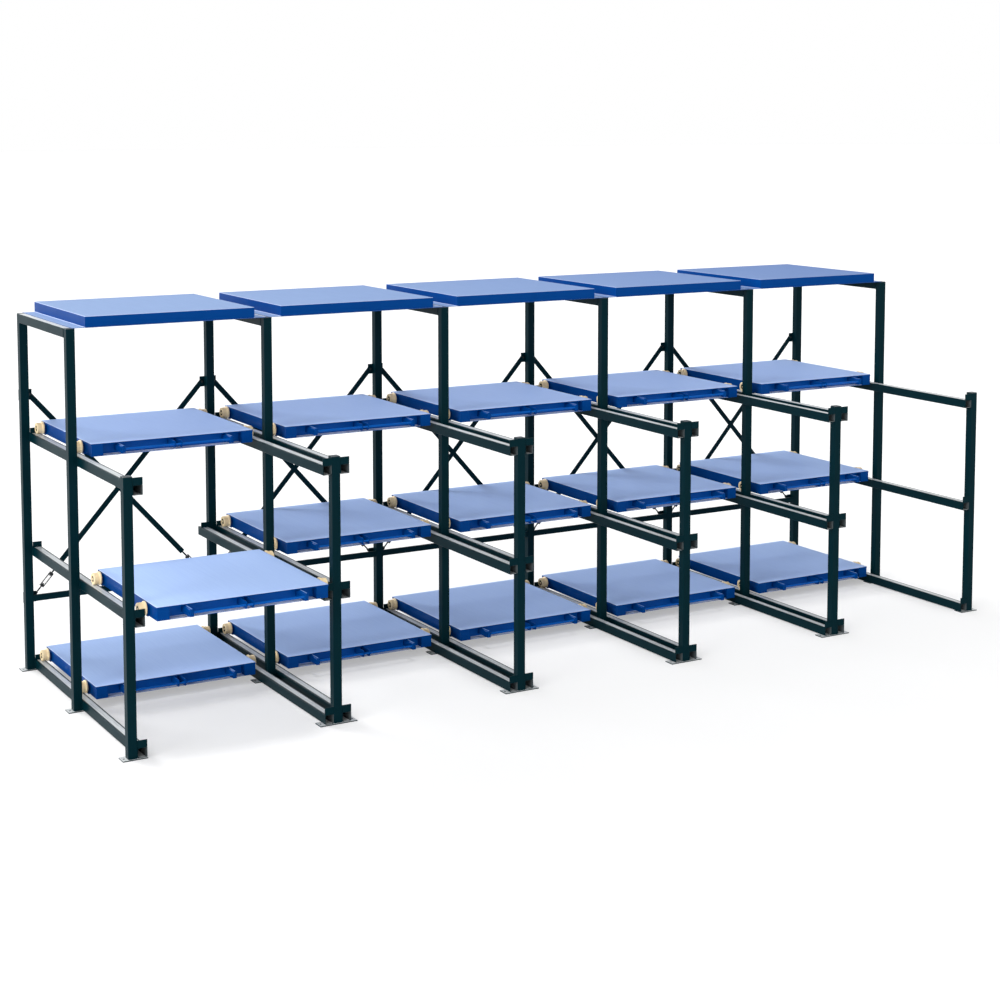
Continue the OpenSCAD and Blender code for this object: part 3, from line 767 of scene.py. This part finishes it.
plates = []
for side in (-1, 1):
    x = side * (PANEL_HALF - CORNER_W / 2)
    plate = block("plate", (x - CORNER_W / 2, -CORNER_T, DECK_BOTTOM),
                  (x + CORNER_W / 2, SHEET / 2, DECK_TOP - RIM_H))
    plates.append(shade(break_edges(plate, FILED)))
corner_plates = join("corner_plate_pattern", plates)
print("corner plates: faces", len(corner_plates.data.polygons))

# %% [markdown]
# ## Stiffeners
# Under the deck run three channels that keep it flat. A channel is a box without its top and ends, folded
# from sheet as the tray is.

# %% Stiffeners
STIFFENER_W, STIFFENER_H, STIFFENER_HALF, STIFFENERS = 40, 28, 428.5, 3
SEAM = 0.1

channels = []
for k in range(1, STIFFENERS + 1):
    y = k * DECK_DEPTH / (STIFFENERS + 1)
    top = DECK_TOP - SHEET - SEAM
    channel = block("channel", (-STIFFENER_HALF, y - STIFFENER_W / 2, top - STIFFENER_H),
                    (STIFFENER_HALF, y + STIFFENER_W / 2, top))
    take_away(channel, lambda centre, normal: normal.z > FACING or abs(normal.x) > FACING)
    bend(channel, lambda a, b: along(X)(a, b) and near(a.z, top - STIFFENER_H), BEND_R)
    channels.append(shade(fold_from_sheet(channel)))
stiffeners = join("stiffener_pattern", channels)
print("stiffeners: faces", len(stiffeners.data.polygons))

# %% [markdown]
# ## Roller brackets
# On the sides sit four thick plates that carry the axles and reach a little below the tray. A bracket is a
# block with round lower corners and filed outer edges, made once and copied to the four axles.

# %% Brackets
BRACKET_T, BRACKET_W, BRACKET_R, BRACKET_DROP = 5, 44, 8, 4
AXLE_ROWS, EDGE = (135, 815), 0.8


def on_axles(name, pattern, height):
    """Four copies of a pattern, one at each axle of a shelf."""
    copies = []
    for y in AXLE_ROWS:
        place = at(0, y, height)
        copies += [copy_at(pattern, name, place), copy_at(pattern, name, place @ HALF_TURN)]
    remove(pattern)
    return shade(join(name, copies))


bracket_x = PANEL_HALF + SEAM
bracket_low, bracket_high = DECK_BOTTOM - BRACKET_DROP, DECK_TOP - RIM_H - SEAM
bracket = block("bracket", (bracket_x, -BRACKET_W / 2, bracket_low),
                (bracket_x + BRACKET_T, BRACKET_W / 2, bracket_high))
bend(bracket, lambda a, b: along(X)(a, b) and near(a.z, bracket_low), BRACKET_R, segments=5)
bend(bracket, edge_at(x=bracket_x + BRACKET_T), EDGE, segments=2)
brackets = on_axles("bracket_pattern", bracket, 0)
print("brackets: faces", len(brackets.data.polygons))

# %% [markdown]
# ## Turning
# Axles and rollers come off a lathe, so they are made as on one: half of the section is drawn point by point
# by extruding a single vertex, and spun about the axle. The seam of the spin is merged before the normals are
# made to point outwards.

# %% Turn a profile
MERGE_MM = 0.001


def turned(name, profile, steps=40):
    """Turns a profile of (along X, radius) points in millimetres about the X axis."""
    deselect_all()
    bpy.ops.mesh.primitive_plane_add(size=MM)
    piece = bpy.context.object
    piece.name = piece.data.name = name
    bpy.ops.object.mode_set(mode="EDIT")
    bpy.ops.mesh.select_mode(type="VERT")
    bpy.ops.mesh.select_all(action="SELECT")
    bpy.ops.mesh.merge(type="CENTER")
    here = Vector((0, 0, 0))
    for step, (x, radius) in enumerate(profile):
        move = Vector((x * MM, 0, radius * MM)) - here
        here += move
        if step == 0:
            bpy.ops.transform.translate(value=move)
        else:
            bpy.ops.mesh.extrude_region_move(TRANSFORM_OT_translate={"value": move})
    bpy.ops.mesh.select_all(action="SELECT")
    bpy.ops.mesh.spin(steps=steps, angle=math.tau, center=(0, 0, 0), axis=(1, 0, 0))
    bpy.ops.mesh.select_all(action="SELECT")
    bpy.ops.mesh.remove_doubles(threshold=MERGE_MM * MM)
    bpy.ops.mesh.normals_make_consistent(inside=False)
    return done(piece)


print("lathe ready, doubles merge within", MERGE_MM, "mm")

# %% [markdown]
# ## Stub axles
# An axle is a turned pin: a rivet head inside the panel, a collar outside the bracket, the journal, and a
# black retaining head that sits in a recess of the roller with a cream cap pressed on its middle.

# %% Axles
AXLE_Z, INSIDE, COLLAR_X, JOURNAL_X, HEAD_X = 30.3, 442.4, 449.7, 456.0, 490.5
RIVET_R, RIVET_T, CROWN_X, CROWN_R, COLLAR_R, AXLE_R = 5, 4, 2.6, 2, 11, 6
HEAD_R, HEAD_T, HEAD_EDGE = 15, 4, 1
AXLE_CAP_R, AXLE_CAP_T, AXLE_CAP_SEAT, FINE_EDGE = 6.5, 0.9, 0.5, 0.6

cap_x = HEAD_X + HEAD_T
axles = on_axles("axle_pattern", turned("pin", [
    (INSIDE - RIVET_T, 0), (INSIDE - RIVET_T, COLLAR_R - CROWN_R), (INSIDE - CROWN_X, COLLAR_R),
    (INSIDE, COLLAR_R), (INSIDE, RIVET_R), (COLLAR_X, RIVET_R), (COLLAR_X, COLLAR_R),
    (JOURNAL_X - EDGE, COLLAR_R), (JOURNAL_X, COLLAR_R - EDGE), (JOURNAL_X, AXLE_R), (HEAD_X, AXLE_R),
    (HEAD_X, HEAD_R), (cap_x - HEAD_EDGE, HEAD_R), (cap_x, HEAD_R - HEAD_EDGE), (cap_x, 0)], steps=24),
    AXLE_Z)
axle_caps = on_axles("axle_cap_pattern", turned("axle_cap", [
    (cap_x - AXLE_CAP_SEAT, 0), (cap_x - AXLE_CAP_SEAT, AXLE_CAP_R), (cap_x + AXLE_CAP_SEAT, AXLE_CAP_R),
    (cap_x + AXLE_CAP_T, AXLE_CAP_R - FINE_EDGE), (cap_x + AXLE_CAP_T, 0)], steps=20), AXLE_Z)
print("axles and their caps: faces", len(axles.data.polygons), len(axle_caps.data.polygons))

# %% [markdown]
# ## Rollers
# The roller has a guide flange towards the shelf, shallow grooves round its tread and a recess for the axle's
# head. Its profile closes on itself round the bore, so the spin gives a closed ring.

# %% Rollers
ROLLER_W, ROLLER_EDGE, TREAD_R, BORE_R = 39, 2, 30, 6.05
FLANGE_R, FLANGE_W, FLANGE_FALL, RECESS_R, RECESS = 35, 10, 1.4, 17, 5.5
GROOVES, GROOVE = (17, 26), 1.7

tread = [(FLANGE_W + FINE_EDGE, TREAD_R)]
for x in GROOVES:
    tread += [(x - GROOVE, TREAD_R), (x - GROOVE / 2, TREAD_R - GROOVE),
              (x + GROOVE / 2, TREAD_R - GROOVE), (x + GROOVE, TREAD_R)]
roller = turned("roller_pattern", [
    (0, BORE_R), (0, FLANGE_R - ROLLER_EDGE), (FINE_EDGE, FLANGE_R - FINE_EDGE), (ROLLER_EDGE, FLANGE_R),
    (FLANGE_W - ROLLER_EDGE, FLANGE_R), (FLANGE_W - EDGE, FLANGE_R - FLANGE_FALL),
    (FLANGE_W, TREAD_R + FINE_EDGE), *tread, (ROLLER_W - ROLLER_EDGE, TREAD_R),
    (ROLLER_W - FINE_EDGE, TREAD_R - FINE_EDGE), (ROLLER_W, TREAD_R - ROLLER_EDGE),
    (ROLLER_W, RECESS_R + EDGE), (ROLLER_W - EDGE, RECESS_R), (ROLLER_W - RECESS, RECESS_R),
    (ROLLER_W - RECESS, BORE_R), (0, BORE_R)])
shade(roller, angle=40)
print("roller: faces", len(roller.data.polygons))

# %% [markdown]
# ## The handle
# The handle is a round grip tube that two folded lugs and a pair of centre ears hold off the front. A lug is
# a narrow hood, open below, that starts at the web of the front channel. Its crest is rolled round, and a
# thin pale line on top of it is a painted highlight. The ears are flat plates with a round nose.

# %% Handle
HANDLE_REACH, GRIP_Y, GRIP_Z, GRIP_R = 75, -66, 33, 6
LUG_X, LUG_W, LUG_LOW, LUG_HIGH = 297.5, 22, 14, 52
LUG_WALL, CREST_R, NOSE_R = 3, 10, 4
EAR_X, EAR_T, EAR_NOSE_R, EAR_EDGE = 18.5, 4.5, 12, 1
LUG_BACK = FRONT_RECESS - SEAM

hoods, ears = [], []
for side in (-1, 1):
    hood = block("hood", (side * LUG_X - LUG_W / 2, -HANDLE_REACH, LUG_LOW),
                 (side * LUG_X + LUG_W / 2, LUG_BACK, LUG_HIGH))
    bend(hood, lambda a, b: along(Y)(a, b) and near(a.z, LUG_HIGH), CREST_R, segments=6)
    bend(hood, lambda a, b: edge_at(y=-HANDLE_REACH)(a, b) and max(a.z, b.z) > LUG_LOW + MARGIN, NOSE_R)
    take_away(hood, facing_down)
    hoods.append(shade(fold_from_sheet(hood, LUG_WALL)))
for side in (-1, 1):
    ear = block("ear", (side * EAR_X - EAR_T / 2, -HANDLE_REACH, LUG_LOW),
                (side * EAR_X + EAR_T / 2, LUG_BACK, LUG_HIGH))
    bend(ear, lambda a, b: along(X)(a, b) and near(a.y, -HANDLE_REACH), EAR_NOSE_R, segments=6)
    ears.append(shade(break_edges(ear, EAR_EDGE)))
lugs = join("lug_pattern", hoods)
ears = join("ear_pattern", ears)

grip_half = LUG_X + LUG_W / 2
inner_r = GRIP_R - SHEET
grip = turned("grip_pattern", [
    (-grip_half, inner_r), (-grip_half, GRIP_R - EDGE), (-grip_half + EDGE, GRIP_R),
    (grip_half - EDGE, GRIP_R), (grip_half, GRIP_R - EDGE), (grip_half, inner_r),
    (-grip_half, inner_r)], steps=32)
grip.data.transform(at(0, GRIP_Y, GRIP_Z))
shade(grip)
print("handle: faces", [len(piece.data.polygons) for piece in (lugs, ears, grip)])

# %% [markdown]
# ## Fifteen shelves and their rollers
# Each piece was modelled once, round the middle of a shelf's front edge. Every shelf now gets its own copies,
# moved in their meshes to where the frame says that the shelf stands, and each copy rides on its body, so a
# shelf takes its tray, brackets, axles and handle along. The rollers ride on their own bodies and turn on the
# axles.

# %% Place the shelves
FLANGE_FACE = 456.5
# The web's brighter blue and the pale tops of tray and stiffeners are painted light.
SHELF_KIT = (
    ("tray", tray, blue), ("front_web", web, web_blue_painted_light), ("corner_plates", corner_plates, plain_blue),
    ("stiffeners", stiffeners, blue), ("brackets", brackets, plain_blue), ("axles", axles, axle_steel),
    ("axle_caps", axle_caps, polyamide), ("handle_lugs", lugs, crest_blue),
    ("centre_ears", ears, plain_blue), ("grip", grip, grip_blue))
SLOTS = {axle_steel: "fastener_steel", polyamide: "roller_plastic"}


def shelf_origin(node):
    """The middle of a pull-out shelf's front edge at the height of its rails, in metres."""
    low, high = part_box(node)
    drop = (BRACKET_DROP - DECK_BOTTOM) * MM
    return Vector((mid_of(low.x, high.x), low.y + HANDLE_REACH * MM, low.z + drop))


for shelf in shelves:
    node = shelf + "_shelf"
    place = Matrix.Translation(shelf_origin(node))
    for part, pattern, finish in SHELF_KIT:
        slot = SLOTS.get(finish, "shelf_paint")
        fit(copy_at(pattern, f"{shelf}_{part}", place), node, finish, slot, node)
    for row, y in zip(("front", "rear"), AXLE_ROWS):
        axle = place @ at(0, y, AXLE_Z)
        right = copy_at(roller, "right", axle @ at(FLANGE_FACE, 0, 0))
        left = copy_at(roller, "left", axle @ HALF_TURN @ at(FLANGE_FACE, 0, 0))
        body = f"{shelf}_{row}_rollers"
        pair = join(f"{shelf}_{row}_turned_rollers", [right, left])
        fit(pair, body, polyamide, "roller_plastic", body)
remove(*(pattern for part, pattern, finish in SHELF_KIT), roller)
print("shelf pieces:", len(shelves) * (len(SHELF_KIT) + 2))

# %% [markdown]
# ## A turnbuckle of the cross braces
# Behind each bay two bars cross, and each is drawn tight by a turnbuckle: a forged oblong frame with a
# threaded rod in each end. The lower rod is turned as the axles are, plain at first and then with a thread,
# and ends in a flat eye on the brace pin. The frame's window is inset on both faces and bridged through.

# %% Turnbuckle
EYE_R, EYE_T, EYE_ROUND, NECK_LEN, NECK_W = 13, 5, 0.98, 30.1, 15
ROD_R, ROD_EDGE, ROD_OUT, SHANK_STEP = 4.5, 1, 6, 2
THREAD_LEAD, THREAD_PITCH, THREAD_DEPTH = 14, 3, 0.6
BUCKLE_FROM, BUCKLE_LEN, BUCKLE_T, BUCKLE_HALF = 67, 95, 13, 13
BOSS, SIDE_W, FORGED_R = 16, 5, 1.6

eye = block("eye", (-EYE_R, -EYE_T / 2, -EYE_R), (EYE_R, EYE_T / 2, EYE_R))
bend(eye, along(Y), EYE_R * EYE_ROUND, segments=6)
neck = block("neck", (0, -EYE_T / 2, -NECK_W / 2), (NECK_LEN, EYE_T / 2, NECK_W / 2))

rod_end = BUCKLE_FROM + BOSS + ROD_OUT
x = NECK_LEN - ROD_EDGE
thread = [(x, 0), (x, ROD_R)]
while x <= BUCKLE_FROM - THREAD_LEAD:
    x += SHANK_STEP
    thread.append((x, ROD_R))
while x < rod_end - THREAD_PITCH - ROD_EDGE:
    thread += [(x + THREAD_PITCH / 3, ROD_R), (x + THREAD_PITCH * 2 / 3, ROD_R - THREAD_DEPTH),
               (x + THREAD_PITCH, ROD_R)]
    x += THREAD_PITCH
thread += [(rod_end - ROD_EDGE, ROD_R), (rod_end, ROD_R - ROD_EDGE), (rod_end, 0)]
rod = turned("rod", thread, steps=12)

forging = block("buckle_body", (BUCKLE_FROM, -BUCKLE_T / 2, -BUCKLE_HALF),
                (BUCKLE_FROM + BUCKLE_LEN, BUCKLE_T / 2, BUCKLE_HALF))
pick_faces(forging, lambda centre, normal: abs(normal.y) > FACING)
bpy.ops.mesh.inset(thickness=SIDE_W * MM, use_individual=True)
for end, way in ((BUCKLE_FROM + SIDE_W, 1), (BUCKLE_FROM + BUCKLE_LEN - SIDE_W, -1)):
    pick_edges(forging, lambda a, b: edge_at(x=end)(a, b) and near(a.y, b.y))
    bpy.ops.transform.translate(value=(way * (BOSS - SIDE_W) * MM, 0, 0))
pick_faces(forging, lambda centre, normal: abs(normal.y) > FACING and near(centre.z, 0)
           and near(centre.x, BUCKLE_FROM + BUCKLE_LEN / 2))
bpy.ops.mesh.bridge_edge_loops()
break_edges(done(forging), FORGED_R)
buckle = shade(join("turnbuckle_pattern", [eye, neck, rod, forging]))
print("turnbuckle: faces", len(buckle.data.polygons))

# %% [markdown]
# ## Ten turnbuckles
# The pattern lies along X from its pin. Each copy is turned into the slope of its brace, which follows from
# the heights of the tie bar and of the brace's upper end, and moved to its pin. The two braces of a bay lie
# in planes one behind the other.

# %% Place the turnbuckles
PIN_INSET, TIE_HEIGHT, BRACE_TOP = 36, 405, 1545
BAR_PLANES = (879.5, 885.0)

slope = math.atan2(BRACE_TOP - TIE_HEIGHT, BAY_PITCH - 2 * PIN_INSET)
buckles = []
for bay in range(BAYS):
    for k, lean in enumerate((-slope, slope - math.pi)):
        x = frame_xs[bay + k] + (1 - 2 * k) * PIN_INSET
        place = at(x, post_ys["middle"] + BAR_PLANES[k], TIE_HEIGHT) @ Matrix.Rotation(lean, 4, "Y")
        buckles.append(copy_at(buckle, "buckle", place))
remove(buckle)
buckles = join("brace_turnbuckles_forged", buckles)
fit(buckles, "rack", black_steel, "fastener_steel", "brace_turnbuckles")
print("turnbuckles: faces", len(buckles.data.polygons))

# %% [markdown]
# ## Floor
# The picture has a plain white ground with a faint shadow. To the camera, and in reflections, the floor is
# white paper that glows a little, which keeps the shadow faint. To all other light it is plain matt paper,
# so that the glow doesn't light the rack from below.

# %% Floor
FLOOR_SIZE, FLOOR_GLOW, FLOOR_VEIL = 300, 0.39, 0.6
PAPER, WHITE = "#EEEEEE", (1, 1, 1, 1)


def seen_directly(tree):
    """One where a ray comes from the camera, a reflection or a transmission."""
    path = add_node(tree, "ShaderNodeLightPath")
    seen = add_node(tree, "ShaderNodeMath", {
        0: path.outputs["Is Camera Ray"], 1: path.outputs["Is Glossy Ray"]}, operation="MAXIMUM")
    return add_node(tree, "ShaderNodeMath", {
        0: seen.outputs[0], 1: path.outputs["Is Transmission Ray"]}, operation="MAXIMUM").outputs[0]


deselect_all()
bpy.ops.mesh.primitive_plane_add(size=FLOOR_SIZE)
floor = bpy.context.object
floor.name = "floor"
paper, tree = new_finish("white_paper_floor")
matt = add_node(tree, "ShaderNodeBsdfDiffuse", {"Color": linear(PAPER)})
glow = add_node(tree, "ShaderNodeEmission", {"Color": WHITE, "Strength": FLOOR_GLOW})
veil = add_node(tree, "ShaderNodeBsdfDiffuse", {"Color": (FLOOR_VEIL, FLOOR_VEIL, FLOOR_VEIL, 1)})
white = add_node(tree, "ShaderNodeAddShader", {0: glow.outputs[0], 1: veil.outputs[0]})
ground = add_node(tree, "ShaderNodeMixShader", {
    0: seen_directly(tree), 1: matt.outputs[0], 2: white.outputs[0]})
add_node(tree, "ShaderNodeOutputMaterial", {"Surface": ground.outputs[0]})
floor.data.materials.append(paper)
print("floor:", FLOOR_SIZE, "m wide, glow", FLOOR_GLOW)

# %% [markdown]
# ## Sky and lamps
# To the camera, and in reflections, the sky is white. For the light that falls on the rack it is a soft dome,
# brightest at the horizon and on the left, which parts the sides from the fronts. A wide lamp straight above
# draws the shadow on the floor, and a low lamp from behind reaches in under the top shelves, so that all
# decks are lit evenly and the fronts stay dark. A third lamp, low on the left, lights the rollers. A lamp is
# given as the way of its light, its spread in degrees and its strength.

# %% Sky and lamps
HORIZON, ZENITH, BRIGHT_SIDE = 1.36, 0.1, (-0.5, -0.05, 0)
SUNS = {
    "overhead_light": ((0, 0, -1), 16, 1.36),
    "low_back_light": ((0.3, -0.85, -0.47), 25, 2.3),
    "low_left_light": ((0.88, 0.34, -0.32), 30, 1.1)}

world = bpy.data.worlds.new("white_studio")
bpy.context.scene.world = world
world.use_nodes = True
tree = world.node_tree
tree.nodes.clear()
way = add_node(tree, "ShaderNodeTexCoord").outputs["Generated"]
height = add_node(tree, "ShaderNodeMapRange", {
    "Value": add_node(tree, "ShaderNodeSeparateXYZ", {"Vector": way}).outputs["Z"],
    "To Min": HORIZON, "To Max": ZENITH})
lean = add_node(tree, "ShaderNodeVectorMath", {0: way, 1: BRIGHT_SIDE}, operation="DOT_PRODUCT")
dome = add_node(tree, "ShaderNodeMath", {
    0: height.outputs["Result"], 1: lean.outputs["Value"]}, operation="ADD")
soft = add_node(tree, "ShaderNodeBackground", {"Color": WHITE, "Strength": dome.outputs[0]})
plain = add_node(tree, "ShaderNodeBackground", {"Color": WHITE, "Strength": 1.0})
sky = add_node(tree, "ShaderNodeMixShader", {
    0: seen_directly(tree), 1: soft.outputs[0], 2: plain.outputs[0]})
add_node(tree, "ShaderNodeOutputWorld", {"Surface": sky.outputs[0]})

for name, (beam, spread, strength) in SUNS.items():
    deselect_all()
    bpy.ops.object.light_add(type="SUN", rotation=Vector(beam).to_track_quat("-Z", "Y").to_euler())
    lamp = bpy.context.object
    lamp.name = name
    lamp.data.angle = math.radians(spread)
    lamp.data.energy = strength
print("sky and lamps:", world.name, ", ".join(SUNS))

# %% [markdown]
# ## Camera
# The picture looks at the rack from the front left, a little above its top. Its upright edges stay upright,
# as with a lens that is shifted down. The camera keeps a part of that shift and tips down for the rest.

# %% Camera
CAMERA_AT, CAMERA_YAW, CAMERA_PITCH = (-5.5772, -9.2411, 3.075), 30.125, 5.287
SENSOR_MM, LENS_MM, LENS_SHIFT, FAR_CLIP = 36, 67.438, -0.21, 200

deselect_all()
bpy.ops.object.camera_add(location=CAMERA_AT)
camera = bpy.context.object
camera.rotation_euler = (math.radians(90 - CAMERA_PITCH), 0, -math.radians(CAMERA_YAW))
camera.data.sensor_width = SENSOR_MM
camera.data.lens = LENS_MM
camera.data.shift_y = LENS_SHIFT
camera.data.clip_end = FAR_CLIP
camera.data.dof.use_dof = False
bpy.context.scene.camera = camera
bpy.context.scene.view_settings.view_transform = "Standard"
print("camera at", CAMERA_AT)
